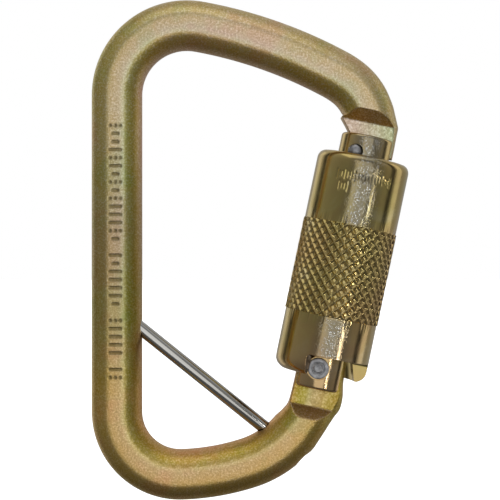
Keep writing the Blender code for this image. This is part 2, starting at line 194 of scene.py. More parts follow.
def turned(profile, sides):
    """Spin a (radius, height) outline round Z; radius 0 is a pole, a ring closes on itself."""
    bm = bmesh.new()
    rings = []
    for radius, height in profile:
        count = 1 if radius == 0.0 else sides
        ring = []
        for i in range(count):
            t = 2.0 * math.pi * i / sides
            ring.append(bm.verts.new((radius * math.cos(t), radius * math.sin(t), height)))
        rings.append(ring)
    last = len(rings) if len(rings[0]) > 1 else len(rings) - 1
    for k in range(last):
        low, high = rings[k], rings[(k + 1) % len(rings)]
        for i in range(sides):
            j = (i + 1) % sides
            loop = [low[i % len(low)], low[j % len(low)], high[j % len(high)], high[i % len(high)]]
            bm.faces.new(list(dict.fromkeys(loop)))
    return bm


def turned_across(profile, sides):
    """Spin a (radius, y) outline round Y."""
    bm = turned(profile, sides)
    turn = Vector((0.0, 0.0, 1.0)).rotation_difference(Vector((0.0, 1.0, 0.0)))
    bmesh.ops.rotate(bm, cent=(0.0, 0.0, 0.0), matrix=turn.to_matrix(), verts=bm.verts)
    return bm


def shift(bm, offset):
    bmesh.ops.translate(bm, vec=offset, verts=bm.verts)


def skin(bm, rings):
    """Faces from each closed ring of vertices to the next."""
    for low, high in zip(rings, rings[1:]):
        for i in range(len(low)):
            j = (i + 1) % len(low)
            bm.faces.new((low[i], low[j], high[j], high[i]))


def tube(points, radius, sides):
    """A round wire with flat ends through a list of points."""
    bm = bmesh.new()
    rings = []
    for i, point in enumerate(points):
        ahead = (points[min(i + 1, len(points) - 1)] - points[max(i - 1, 0)]).normalized()
        side = ahead.cross(Vector((0.0, 0.0, 1.0)))
        if side.length < 0.5:
            side = ahead.cross(Vector((point.x, point.y, 0.0)))
        side.normalize()
        up = side.cross(ahead)
        ring = []
        for k in range(sides):
            t = 2.0 * math.pi * k / sides
            ring.append(bm.verts.new(point + radius * (math.cos(t) * side + math.sin(t) * up)))
        rings.append(ring)
    skin(bm, rings)
    bm.faces.new(list(reversed(rings[0])))
    bm.faces.new(rings[-1])
    return bm


def prism(outline, low, high, place=lambda a, b, depth: (a, depth, b)):
    """Push an outline from depth low to high; place says where a corner goes."""
    bm = bmesh.new()
    near = [bm.verts.new(place(a, b, low)) for a, b in outline]
    far = [bm.verts.new(place(a, b, high)) for a, b in outline]
    bm.faces.new(near)
    bm.faces.new(list(reversed(far)))
    for i in range(len(outline)):
        j = (i + 1) % len(outline)
        bm.faces.new((near[j], near[i], far[i], far[j]))
    return bm


# ---- materials
class Nodes:
    """A short way to lay out the nodes of a material or of the world."""

    def __init__(self, owner, coordinates):
        owner.use_nodes = True
        self.tree = owner.node_tree
        self.place = self.new("ShaderNodeTexCoord").outputs[coordinates]

    def new(self, kind, **values):
        """A new node; values are inputs to set, with _ for a space in their names."""
        node = self.tree.nodes.new(kind)
        for name, value in values.items():
            node.inputs[name.replace("_", " ")].default_value = value
        return node

    def link(self, output, socket):
        self.tree.links.new(output, socket)

    def feed(self, values, sockets):
        """Give each socket its value: a number, a colour or another node's output."""
        for value, socket in zip(values, sockets):
            if isinstance(value, tuple):
                socket.default_value = (*value, 1.0)
            elif isinstance(value, float):
                socket.default_value = value
            else:
                self.link(value, socket)

    def noise(self, scale, detail=3.0, rough=0.5, distortion=0.0, stretch=None):
        """Noise with about scale lumps in a metre; stretch gives other scales along X, Y, Z."""
        node = self.new("ShaderNodeTexNoise", Scale=scale, Detail=detail, Roughness=rough,
                        Distortion=distortion)
        place = self.place
        if stretch:
            mapping = self.new("ShaderNodeMapping", Scale=stretch)
            self.link(place, mapping.inputs["Vector"])
            place = mapping.outputs["Vector"]
        self.link(place, node.inputs["Vector"])
        return node.outputs["Fac"]

    def attribute(self, name):
        node = self.new("ShaderNodeAttribute")
        node.attribute_name = name
        return node.outputs["Fac"]

    def ramp(self, value, stops):
        node = self.new("ShaderNodeValToRGB")
        elements = node.color_ramp.elements
        while len(elements) < len(stops):
            elements.new(0.5)
        for element, (position, colour) in zip(elements, stops):
            element.position = position
            element.color = (*colour, 1.0)
        self.link(value, node.inputs["Fac"])
        return node.outputs["Color"]

    def mix(self, factor, a, b, blend='MIX'):
        node = self.new("ShaderNodeMix")
        node.data_type = 'RGBA'
        node.blend_type = blend
        node.clamp_result = True
        self.feed((factor, a, b), (node.inputs[0], node.inputs[6], node.inputs[7]))
        return node.outputs[2]

    def spread(self, value, low, high, start=0.3, end=0.7):
        """Stretch a value running from start to end to the range low to high."""
        node = self.new("ShaderNodeMapRange", From_Min=start, From_Max=end, To_Min=low, To_Max=high)
        self.link(value, node.inputs["Value"])
        return node.outputs["Result"]

    def along(self, axis):
        """The place along X, Y or Z, in metres in a piece's own frame."""
        node = self.new("ShaderNodeSeparateXYZ")
        self.link(self.place, node.inputs["Vector"])
        return node.outputs[axis]

    def math(self, operation, a, b=0.0, c=0.0):
        node = self.new("ShaderNodeMath")
        node.operation = operation
        self.feed((a, b, c), node.inputs)
        return node.outputs["Value"]


class Metal(Nodes):
    """A metal whose patterns are laid out in its piece's own frame."""

    def __init__(self, name, roughness):
        self.material = bpy.data.materials.new(name)
        super().__init__(self.material, "Object")
        self.shader = self.tree.nodes["Principled BSDF"]
        self.shader.inputs["Roughness"].default_value = roughness
        self.shader.inputs["Metallic"].default_value = 1.0

    def finish(self, colour, roughness, heights):
        """Set the shader; heights are chained bumps, each (output, strength, metres)."""
        self.link(colour, self.shader.inputs["Base Color"])
        self.link(roughness, self.shader.inputs["Roughness"])
        self.bump(heights)
        return self.material

    def bump(self, heights):
        normal = None
        for height, strength, distance in heights:
            node = self.new("ShaderNodeBump", Strength=strength, Distance=distance)
            self.link(height, node.inputs["Height"])
            if normal:
                self.link(normal, node.inputs["Normal"])
            normal = node.outputs["Normal"]
        self.link(normal, self.shader.inputs["Normal"])


GOLD = (0.560, 0.420, 0.165)
PALE_GOLD = (0.700, 0.590, 0.350)
ROSE = (0.600, 0.390, 0.250)
BROWN = (0.350, 0.225, 0.075)
WORN = (0.780, 0.800, 0.800)


def zinc_body_material():
    """Yellow zinc over a blasted surface: sparkling grain, colour that drifts along the bar.

    The ramps named across and arms run from the bar's inner edge to its outer edge. Besides the
    plating's iridescent colours they paint light: a painted highlight along the inner edge of the
    front flat, and painted shade in part of the spine's darker olive sides.
    """
    n = Metal("zinc_body", 0.40)
    # Painted highlight: the pale stop at 0.35 in both ramps lies on the inner edge of the front
    # flat. The olive stops on the spine's sides are partly painted shade.
    across = n.ramp(n.attribute("across"), [
        (0.00, (0.78, 0.44, 0.29)), (0.05, (0.70, 0.42, 0.20)), (0.12, (0.52, 0.46, 0.09)),
        (0.22, (0.47, 0.55, 0.08)), (0.30, (0.62, 0.68, 0.24)), (0.35, (0.92, 0.94, 0.68)),
        (0.42, (0.88, 0.75, 0.57)), (0.50, (0.88, 0.71, 0.50)), (0.60, (0.90, 0.70, 0.42)),
        (0.66, (0.92, 0.76, 0.36)), (0.76, (0.72, 0.60, 0.16)), (0.88, (0.62, 0.48, 0.09)),
        (1.00, (0.66, 0.56, 0.16))])
    arms = n.ramp(n.attribute("across"), [
        (0.00, (0.78, 0.46, 0.30)), (0.05, (0.80, 0.48, 0.20)), (0.12, (0.84, 0.55, 0.10)),
        (0.22, (0.88, 0.58, 0.10)), (0.30, (0.90, 0.66, 0.24)), (0.35, (0.93, 0.86, 0.62)),
        (0.42, (0.88, 0.75, 0.60)), (0.50, (0.88, 0.71, 0.52)), (0.60, (0.90, 0.70, 0.46)),
        (0.66, (0.92, 0.75, 0.46)), (0.76, (0.72, 0.57, 0.27)), (0.88, (0.64, 0.47, 0.18)),
        (1.00, (0.66, 0.52, 0.22))])
    off_spine = n.spread(n.along("X"), 0.0, 1.0, -0.015, -0.006)
    upper = n.spread(n.along("Z"), 0.30, 1.0, -0.07, -0.05)
    across = n.mix(n.math('MULTIPLY', off_spine, upper), across, arms)
    drift = n.ramp(n.noise(75.0, 3.0, 0.6), [
        (0.36, (0.38, 0.58, 0.12)), (0.46, (0.78, 0.58, 0.14)), (0.54, (0.82, 0.74, 0.42)),
        (0.64, (0.95, 0.46, 0.34))])
    colour = n.mix(0.27, across, drift)
    grain = n.noise(5200.0, 2.0, 0.6)
    sparkle = n.noise(2300.0, 2.0, 0.7)
    speck = n.ramp(sparkle, [(0.36, BROWN), (0.50, GOLD), (0.66, (0.98, 0.92, 0.80))])
    colour = n.mix(0.34, colour, speck)
    # Painted shade: this ramp darkens a band across the middle of the height, round the spine's
    # middle. Towards the bottom it tints the zinc yellower.
    height = n.spread(n.along("Z"), 0.0, 1.0, -0.107, 0.012)
    tint = n.ramp(height, [
        (0.00, (1.00, 0.84, 0.62)), (0.22, (0.99, 0.84, 0.58)), (0.36, (0.76, 0.75, 0.56)),
        (0.56, (0.76, 0.77, 0.72)), (0.76, (0.98, 0.97, 0.98)), (1.00, (1.00, 0.98, 1.00))])
    colour = n.mix(1.0, colour, tint, 'MULTIPLY')
    # Painted shade: the stamps are darkened in step with their depth, standing in for the shade in
    # their recesses.
    colour = n.mix(n.math('MULTIPLY', n.attribute("stamp"), 0.75), colour, (0.20, 0.15, 0.05))
    nose_side = n.spread(n.along("X"), 0.0, 1.0, 0.040, 0.049)
    nose_face = n.mix(nose_side, (0.92, 0.72, 0.62), (0.70, 0.84, 0.50))
    nose_face = n.mix(0.40, nose_face, speck)
    nose = n.math('MULTIPLY', n.attribute("face"), n.spread(n.along("Z"), 0.0, 1.0, -0.06, -0.05))
    colour = n.mix(nose, colour, nose_face)
    step = n.mix(0.35, (0.50, 0.29, 0.12), speck)
    colour = n.mix(n.math('MULTIPLY', n.attribute("step"), 0.85), colour, step)
    return n.finish(colour, n.spread(sparkle, 0.50, 0.32), [
        (n.noise(700.0, 2.0), 0.22, 0.00012), (sparkle, 0.55, 0.00010), (grain, 0.50, 0.00005)])


def zinc_polished_material():
    """Yellow zinc over a turned surface: glossy, with a scratched strip down the front that is
    darkened as painted shade, standing in for a dark reflection.
    """
    n = Metal("zinc_polished", 0.18)
    drift = n.ramp(n.noise(90.0, 3.0, 0.6, 0.4), [
        (0.30, (0.46, 0.37, 0.13)), (0.44, (0.52, 0.35, 0.15)), (0.56, GOLD), (0.70, PALE_GOLD)])
    tint = n.ramp(n.noise(34.0, 1.0), [(0.35, (0.44, 0.40, 0.13)), (0.50, GOLD), (0.65, ROSE)])
    colour = n.mix(0.45, drift, tint)
    strip_x, strip_core, strip_edge = 0.0006, 0.0006, 0.0046
    knurl_middle = (KNURL_U[0] + KNURL_U[1]) / 2.0 * MM
    from_strip = n.math('ABSOLUTE', n.math('SUBTRACT', n.along("X"), strip_x))
    front = n.spread(n.along("Y"), 1.0, 0.0, -0.005, -0.001)
    # This strip mask carries both the real scratched wear and painted shade.
    shaded_worn_strip = n.math('MULTIPLY', n.spread(from_strip, 1.0, 0.0, strip_core, strip_edge), front)
    from_knurl = n.math('ABSOLUTE', n.math('SUBTRACT', n.along("Z"), knurl_middle))
    off_knurl = n.spread(from_knurl, 0.12, 1.0, 0.0104, 0.0116)
    above_fork = n.spread(n.along("Z"), 0.0, 1.0, 0.0028, 0.0036)
    shaded_worn_strip = n.math('MULTIPLY', n.math('MULTIPLY', shaded_worn_strip, off_knurl), above_fork)
    patches = n.spread(n.noise(330.0, 2.0), 0.25, 1.0, 0.40, 0.60)
    scratched = n.spread(n.noise(2400.0, 3.0, 0.7, 2.0, (1.0, 1.0, 0.5)), 0.0, 1.0, 0.53, 0.62)
    wear = n.math('MULTIPLY', n.math('MULTIPLY', shaded_worn_strip, patches), scratched)
    # Painted shade: the front strip is darkened towards dark brown, standing in for the dark
    # reflection down the middle of the turned faces.
    colour = n.mix(n.math('MULTIPLY', shaded_worn_strip, 0.86), colour, (0.23, 0.205, 0.145))
    scuffs = n.noise(900.0, 4.0, 0.65, 0.0, (1.0, 1.0, 0.35))
    return n.finish(n.mix(wear, colour, WORN), n.spread(scuffs, 0.10, 0.24), [
        (n.noise(260.0, 3.0, 0.55, 0.6), 0.22, 0.00005), (scuffs, 0.10, 0.00002),
        (wear, 0.55, 0.00003)])


def bright_steel_material():
    """Drawn bright steel: fine streaks along the piece's own Z."""
    n = Metal("bright_steel_drawn", 0.12)
    drawn = n.noise(2400.0, 2.0, 0.5, 0.0, (1.0, 1.0, 0.02))
    tone = n.ramp(drawn, [(0.35, (0.44, 0.43, 0.40)), (0.65, (0.60, 0.59, 0.56))])
    return n.finish(tone, n.spread(drawn, 0.08, 0.16), [(drawn, 0.06, 0.00002)])


def grey_steel_material():
    """Dull grey steel, as on the peened rivet."""
    n = Metal("grey_steel_peened", 0.42)
    tone = n.ramp(n.noise(900.0, 3.0), [(0.35, (0.27, 0.27, 0.28)), (0.65, (0.44, 0.44, 0.45))])
    return n.finish(tone, n.spread(n.noise(2200.0, 2.0), 0.30, 0.52),
                    [(n.noise(1800.0, 3.0), 0.25, 0.00004)])


def spring_steel_material():
    n = Metal("spring_wire", 0.28)
    tone = n.ramp(n.noise(700.0, 2.0), [(0.35, (0.30, 0.31, 0.33)), (0.65, (0.52, 0.53, 0.55))])
    return n.finish(tone, n.spread(n.noise(1500.0, 2.0), 0.20, 0.36),
                    [(n.noise(1600.0, 2.0), 0.12, 0.00003)])


# ---- body
def soft_min(a, b, k):
    """The smaller of two heights, rounded over where they meet."""
    near = max(k - abs(a - b), 0.0) / k
    return min(a, b) - near * near * k / 4.0


def bar_section():
    """Points (n, y) round the bar, n towards its inner side; soft flats at front and back."""
    round_steps, flat_steps = 14, 20
    tang = math.degrees(math.asin(TANG_Y / BAR_R))
    flat = math.degrees(math.asin(FLAT_Y / BAR_R))
    upper = [tang + (flat - tang) * (i + 1) / round_steps for i in range(round_steps)]
    side = [-tang + 2.0 * tang * i / round_steps for i in range(round_steps + 1)]
    inner = []
    for t in [-t for t in reversed(upper)] + side + upper:
        y = BAR_R * math.sin(math.radians(t))
        height = math.copysign(soft_min(abs(y), FLAT_Y, FLAT_EDGE), y)
        inner.append((BAR_R * math.cos(math.radians(t)), height))
    half = inner[-1][0]
    flat_n = [half - 2.0 * half * i / flat_steps for i in range(1, flat_steps)]
    back = [(n, soft_min(math.sqrt(BAR_R ** 2 - n * n), FLAT_Y, FLAT_EDGE)) for n in flat_n]
    outer = [(-n, -y) for n, y in inner]
    front = [(-n, -y) for n, y in back]
    return inner + back + outer + front


def bend_run(start, heading_deg, bends, side):
    """Stations through bends, each (radius, degrees), that turn left (1) or right (-1)."""
    x, z = start
    heading = math.radians(heading_deg)
    stations = []
    for radius, angle in bends:
        steps = max(3, round(radius * math.radians(angle) / STATION_PITCH))
        step = side * math.radians(angle) / steps
        for _ in range(steps):
            chord = 2.0 * radius * math.sin(abs(step) / 2.0)
            x += chord * math.cos(heading + step / 2.0)
            z += chord * math.sin(heading + step / 2.0)
            heading += step
            stations.append(bar_station(x, z, heading))
    return stations


def bar_station(x, z, heading):
    """Inner and outer edge of the bar (inner faces the eye), and where its milled faces end."""
    nx, nz = BAR_R * math.sin(heading), -BAR_R * math.cos(heading)
    return (x + nx, z + nz, x - nx, z - nz, CHORD, CHORD)


def gate_point(v, u):
    return (GATE_PLACE @ Vector(((v + AXIS_V) * MM, 0.0, u * MM))) / MM


def in_gate_frame(x, z):
    """(v, u) of a place in the body's frame, v from the gate's axis."""
    away = Vector((x, 0.0, z)) * MM - PIVOT
    return away.dot(OUT) / MM - AXIS_V, away.dot(UP) / MM


def gate_stations(rows):
    """Stations given in the gate's frame: inner (v, u), outer (v, u), shares of their flats."""
    stations = []
    for inner, outer, inner_flat, outer_flat in rows:
        a, b = gate_point(*inner), gate_point(*outer)
        stations.append((a.x, a.z, b.x, b.z, inner_flat * BAR_R, outer_flat * BAR_R))
    return stations


def smooth_run(controls, steps):
    """Stations on a smooth curve through the controls, without the first; steps for each span."""
    line = [controls[0]] + controls + [controls[-1]]
    stations = []
    for k, count in enumerate(steps):
        a, b, c, d = line[k:k + 4]
        for i in range(1, count + 1):
            t = i / count
            stations.append(tuple(
                0.5 * (2 * q + (r - p) * t + (2 * p - 5 * q + 4 * r - s) * t * t
                       + (3 * q - p - 3 * r + s) * t ** 3)
                for p, q, r, s in zip(a, b, c, d)))
    return stations


# from the tang beside the rivet down towards the round bar
HINGE_ROWS = [
    ((-5.50, 0.5), (5.80, 0.5), 1.0, 0.86), ((-5.45, -3.0), (6.15, -3.0), 1.0, 0.85),
    ((-5.50, -6.0), (6.65, -6.0), 1.0, 0.83), ((-5.70, -8.6), (6.55, -8.8), 0.98, 0.73),
    ((-6.05, -10.2), (5.65, -10.8), 0.93, 0.78), ((-6.70, -11.3), (4.80, -12.9), 0.90, 0.86),
    ((-7.20, -12.1), (3.95, -15.2), CHORD / BAR_R, CHORD / BAR_R)]
# from the round bar to the tongue; the squeezed tongue is a little wider than the bar
NOSE_ROWS = [
    ((-7.14, 59.88), (3.00, 66.1), 0.90, 0.884), ((-7.08, 59.76), (4.15, 64.3), 0.93, 0.884),
    ((-7.12, 59.62), (5.10, 62.3), 0.96, 0.884), ((-7.28, 59.48), (5.85, 60.7), 1.0, 0.85),
    ((-7.38, 59.30), (6.38, 59.5), 1.0, 0.82), ((-7.25, 59.00), (6.44, 58.6), 1.0, 0.82),
    ((-5.90, 57.40), (6.44, 57.2), 1.0, 0.84), ((-4.50, 55.60), (6.47, 55.6), 1.0, 0.85),
    ((-3.40, 54.25), (6.50, 54.2), 1.0, 0.86)]


def body_stations():
    """The whole bar: from the tang, round the spine, to the nose tongue."""
    top_start = (SPINE_X, SPINE_MID_Z + SPINE_TOP)
    bottom_start = (SPINE_X, SPINE_MID_Z - SPINE_BOTTOM)
    top = bend_run(top_start, 90.0, TOP_BENDS, -1)
    bottom = [(c, d, a, b, e, f) for a, b, c, d, e, f in
              reversed(bend_run(bottom_start, -90.0, BOTTOM_BENDS, 1))]
    hinge = gate_stations(HINGE_ROWS) + [bottom[0]]
    nose = [top[-1]] + gate_stations(NOSE_ROWS)
    spine = []
    for i in range(SPINE_ROWS + 1):
        z = bottom_start[1] + (top_start[1] - bottom_start[1]) * i / SPINE_ROWS
        spine.append(bar_station(SPINE_X, z, math.radians(90.0)))
    hinge_run = [hinge[0]] + smooth_run(hinge, (6, 6, 10, 14, 12, 12, 10))
    nose_run = smooth_run(nose, (10, 12, 14, 14, 12, 10, 10, 8, 6))
    return hinge_run + bottom[1:] + spine + top + nose_run


def cam_height(v):
    """Top of the tang over v: an involute on the inner side, level, then rounded off."""
    arm = v + AXIS_V
    if arm < -CAM_K:
        low, high = 0.0, math.radians(38.0)
        for _ in range(30):
            beta = (low + high) / 2.0
            lift = CAM_H + CAM_K * beta
            reach = -lift * math.sin(beta) - CAM_K * math.cos(beta)
            low, high = (beta, high) if reach > arm else (low, beta)
        return (CAM_H + CAM_K * low) * math.cos(low) - CAM_K * math.sin(low)
    if v < CAM_FLAT_V:
        return CAM_H
    fall = math.sqrt(max(CAM_ROUND_R ** 2 - (v - CAM_FLAT_V) ** 2, 0.05))
    return CAM_H - CAM_ROUND_R + fall


def toe_height(v):
    """Underside of the nose tongue over v: clear of the latch pin, then round the pivot."""
    seat = PIN_R + 0.3
    over_pin = PIN_U + PIN_R + 0.4
    under = math.sqrt(TOE_R ** 2 - (v + AXIS_V) ** 2)
    if v < PIN_V:
        return over_pin
    if v < PIN_V + seat:
        return max(PIN_U + math.sqrt(seat ** 2 - (v - PIN_V) ** 2), under)
    return under


def shaped_ring(section, station):
    """The bar's section fitted between the two edges, squared or rounded at its sides."""
    inner_x, inner_z, outer_x, outer_z, inner_flat, outer_flat = station
    ring = []
    for n, y in section:
        flat = inner_flat if n > 0.0 else outer_flat
        reach = abs(n)
        square = max(0.0, (flat - CHORD) / (BAR_R - CHORD))
        if reach > CHORD - 1e-6:
            reach = flat + (BAR_R - flat) * (reach - CHORD) / (BAR_R - CHORD)
            if square > 0.0 and abs(abs(y) - TANG_Y) < 1e-6:
                reach -= CORNER_INSET * square
            elif square > 0.0:
                y *= 1.0 + SIDE_SPREAD * square
        else:
            reach *= flat / CHORD
        share = 0.5 - math.copysign(reach, n) / (2.0 * BAR_R)
        x = inner_x + (outer_x - inner_x) * share
        z = inner_z + (outer_z - inner_z) * share
        ring.append((x, milled(x, y, z), z))
    return ring


def past_shoulder(x, z):
    """How far past a milled shoulder a place is, negative on the milled side; None elsewhere."""
    v, u = in_gate_frame(x, z)
    if abs(v) > 9.0:
        return None
    if u > 50.0:
        return u - NOSE_SHOULDER_U
    return HINGE_SHOULDER_U - u if -18.0 < u < 8.0 else None


def milled(x, y, z):
    """The bar's y at a place, after the tang's and the tongue's faces are milled into it."""
    rise = past_shoulder(x, z)
    if rise is None:
        return y
    limit = TANG_Y - soft_min(0.0, -rise, STEP_FILLET)
    return math.copysign(soft_min(abs(y), limit, MILL_EDGE), y)


def end_ring(section, station, height, inset):
    """The last ring of the tang or the tongue, bent to its outline and set in at the edge."""
    ring = []
    for x, y, z in shaped_ring(section, station):
        v = in_gate_frame(x, z)[0]
        place = gate_point(v, height(v))
        ring.append((place.x, y * (1.0 - inset / TANG_Y), place.z))
    return ring


def blend_ring(a, b, t):
    """A ring part of the way from a to b."""
    return [tuple(p + (q - p) * t for p, q in zip(pa, pb)) for pa, pb in zip(a, b)]


def body_rings(section):
    """Every ring of the bar, from the tang's rounded tip to the tongue's toe."""
    stations = body_stations()
    rings = [shaped_ring(section, station) for station in stations]
    tang, tongue = stations[0], stations[-1]
    tip = end_ring(section, tang, cam_height, TANG_EDGE)
    near = end_ring(section, tang, lambda v: cam_height(v) - TANG_EDGE, 0.0)
    toe_near = end_ring(section, tongue, lambda v: toe_height(v) + TANG_EDGE, 0.0)
    toe = end_ring(section, tongue, toe_height, TANG_EDGE)
    upper = [blend_ring(rings[0], near, t / 6.0) for t in range(5, 0, -1)]
    lower = [blend_ring(rings[-1], toe_near, t / 5.0) for t in range(1, 5)]
    return [tip, near] + upper + rings + lower + [toe_near, toe]


def stamped_marks(low_z, high_z):
    """Plain punch marks for the spine: bars and rows of dots in groups, spelling nothing."""
    pick = random.Random(STAMP_SEED)
    group_ends, group_gap = (15, 22, 27), 2.0
    marks = []
    z = high_z
    while z > low_z:
        marks.append((pick.choice(("bar", "bar", "short", "dots")), z))
        z -= STAMP_PITCH
        if len(marks) in group_ends:
            z -= group_gap
    return marks


def mark_depth(marks, across, z):
    """How far in the stamps reach at a place on the flat, 0 to 1; across from -1.9 to 1.9 mm."""
    depth = 0.0
    for kind, centre in marks:
        away = z - centre
        if abs(away) > 0.6:
            continue
        if kind == "dots":
            for spot in (-1.2, 0.0, 1.2):
                depth = max(depth, 1.0 - math.hypot(away, across - spot) / 0.55)
            continue
        reach = 1.25 if kind == "bar" else 0.55
        depth = max(depth, 1.0 - math.hypot(away, max(abs(across) - reach, 0.0)) / 0.50)
    return min(max(depth, 0.0) * 1.8, 1.0)


def stamp_spine(bm, stamp):
    """Push the punch marks into the spine's front flat."""
    marks = stamped_marks(SPINE_MID_Z - 30.0, SPINE_MID_Z + 29.5)
    for vert in bm.verts:
        across = vert.co.x - SPINE_X
        in_band = abs(across) < 1.95 and abs(vert.co.z - SPINE_MID_Z) < 33.0
        if vert.co.y < -FLAT_Y + ON_FACE and in_band:
            vert[stamp] = mark_depth(marks, across, vert.co.z)
            vert.co.y += STAMP_DEPTH * vert[stamp]


def tint_milled_faces(bm):
    """Mark which places lie on the milled faces and on the steps beside them."""
    step = bm.verts.layers.float.new("step")
    face = bm.verts.layers.float.new("face")
    for vert in bm.verts:
        rise = past_shoulder(vert.co.x, vert.co.z)
        if rise is None:
            continue
        height = abs(vert.co.y)
        if rise <= 0.0 and abs(height - TANG_Y) < ON_FACE:
            vert[face] = 1.0
        elif rise > 0.0 and abs(height - TANG_Y - rise) < ON_FACE:
            vert[step] = 1.0


def drill_holes(obj, place):
    """Take the captive bar's hole, wider where it comes out below, and the rivet's hole."""
    low, wider, end = 1.9, 55.9, 66.0
    profile = [(0.0, low), (CAPTIVE_HOLE_R, low), (CAPTIVE_HOLE_R, wider)]
    profile += [(COUNTERBORE_R, wider + 0.6), (COUNTERBORE_R, end), (0.0, end)]
    captive = add_object("captive_hole_cutter", turned(profile, 48), place)
    rivet = round_cutter("tang_hole_cutter", RIVET_HOLE_R, -8.0, 8.0, (-AXIS_V, 0.0))
    cut_away(obj, [captive, rivet])


def cut_away(obj, cutters, edge_mm=0.0):
    """Subtract cutters, round the new edges a little, and keep the result as plain mesh."""
    for cutter in cutters:
        cut = obj.modifiers.new(cutter.name, 'BOOLEAN')
        cut.operation = 'DIFFERENCE'
        cut.solver = 'EXACT'
        cut.object = cutter
    if edge_mm:
        rounded = obj.modifiers.new("edges", 'BEVEL')
        rounded.width = edge_mm * MM
        rounded.segments = 2
        rounded.limit_method = 'ANGLE'
        rounded.angle_limit = math.radians(50)
    bpy.context.view_layer.update()
    done = obj.evaluated_get(bpy.context.evaluated_depsgraph_get())
    mesh = bpy.data.meshes.new_from_object(done)
    obj.modifiers.clear()
    obj.data = mesh
    shade(mesh)
    for cutter in cutters:
        bpy.data.objects.remove(cutter, do_unlink=True)


def captive_place():
    """Frame whose Z runs down the captive bar, from where its axis meets the spine's."""
    low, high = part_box("captive_bar")
    slope = math.radians(CAPTIVE_SLOPE_DEG)
    run = Vector((math.cos(slope), 0.0, -math.sin(slope)))
    middle = (low + high) / 2.0
    start = middle - run * ((middle.x - SPINE_X * MM) / run.x)
    turn = Vector((0.0, 0.0, 1.0)).rotation_difference(run).to_matrix().to_4x4()
    return Matrix.Translation(start) @ turn


def build_body(material, place):
    """The bar, skinned over its rings; place is the captive bar's frame."""
    section = bar_section()
    bm = bmesh.new()
    across = bm.verts.layers.float.new("across")
    stamp = bm.verts.layers.float.new("stamp")
    rows = []
    for ring in body_rings(section):
        row = []
        for (n, _), co in zip(section, ring):
            vert = bm.verts.new(co)
            vert[across] = 0.5 - n / (2.0 * BAR_R)
            row.append(vert)
        rows.append(row)
    skin(bm, rows)
    cap_ring(bm, rows[0], section, True)
    cap_ring(bm, rows[-1], section, False)
    stamp_spine(bm, stamp)
    tint_milled_faces(bm)
    body = piece("body_frame_bar", bm, material, "body", "body_frame")
    drill_holes(body, place)


def cap_ring(bm, row, section, flip):
    """Close an end across its thickness: front points join the back points opposite them."""
    every = range(len(section))
    match = [min(every, key=lambda k: abs(section[k][0] - n) + abs(section[k][1] + y))
             for n, y in section]
    order = [i for i in every if section[i][1] < -1e-6]
    order.sort(key=lambda i: section[i][0])
    for a, b in zip(order, order[1:]):
        loop = [row[a], row[b], row[match[b]], row[match[a]]]
        bm.faces.new(loop if flip else list(reversed(loop)))
    for first in (order[0], order[-1]):
        close_side(bm, row, section, first, match[first])


def close_side(bm, row, section, low, high):
    """Fill the sliver between a cap and the bar's round side."""
    step = 1 if section[low][0] > 0 else -1
    loop = [row[low]]
    i = low
    while i != high:
        i = (i + step) % len(section)
        loop.append(row[i])
    if len(loop) > 2:
        bm.faces.new(loop)


# ---- captive bar, rivet and pins
def build_captive_bar(material, place):
    radius, low, high = CAPTIVE_R, 2.5, 55.6
    profile = [(0.0, low), (radius - 0.3, low), (radius, low + 0.3)]
    profile += [(radius, high - 0.45), (radius - 0.18, high - 0.12), (radius - 0.5, high)]
    profile += [(0.0, high)]
    piece("captive_eye_bar", turned(profile, 48), material, "body", "captive_bar",
          place)


def build_rivet(material):
    """Both peened heads: a flat rim, a groove, a raised ring and a dimple in the middle."""
    sunk = [(0.0, 0.24), (0.30, 0.22), (0.62, 0.16), (0.86, 0.13), (0.98, 0.02), (1.12, 0.03),
            (1.26, 0.11), (1.42, 0.10), (1.56, 0.02), (1.80, 0.0), (2.25, 0.0), (2.40, 0.05),
            (2.48, 0.16)]
    head = [(r, RIVET_HEAD_Y - depth) for r, depth in sunk] + [(2.50, 5.6), (2.0, 5.6)]
    profile = head + [(r, -y) for r, y in reversed(head)]
    bm = turned_across(profile, 64)
    piece("hinge_rivet_peened", bm, material, "gate", "hinge_rivet", GATE_PLACE)


def build_latch_pin(material):
    dome_foot, dome_height = 5.35, 1.05
    dome = arc((0.0, dome_foot), dome_height, 90.0, 0.0, 10)
    half = [(PIN_R * r / dome_height, y) for r, y in dome]
    half[0] = (0.0, half[0][1])
    profile = half + [(r, -y) for r, y in reversed(half)]
    bm = turned_across(profile, 48)
    shift(bm, (AXIS_V + PIN_V, 0.0, PIN_U))
    piece("nose_latch_pin_domed", bm, material, "gate", "nose_latch_pin",
          GATE_PLACE)


def build_guide_pin(material):
    radius, low, high, edge = GUIDE_PIN_R, 4.2, 8.3, 0.25
    profile = [(0.0, low), (radius - edge, low), (radius, low + edge)]
    profile += [(radius, high - edge), (radius - edge, high), (0.0, high)]
    bm = turned_across(profile, 32)
    shift(bm, (0.0, 0.0, GUIDE_PIN_U))
    piece("sleeve_guide_pin_turned", bm, material, "gate", "sleeve_guide_pin",
          BARREL_PLACE)


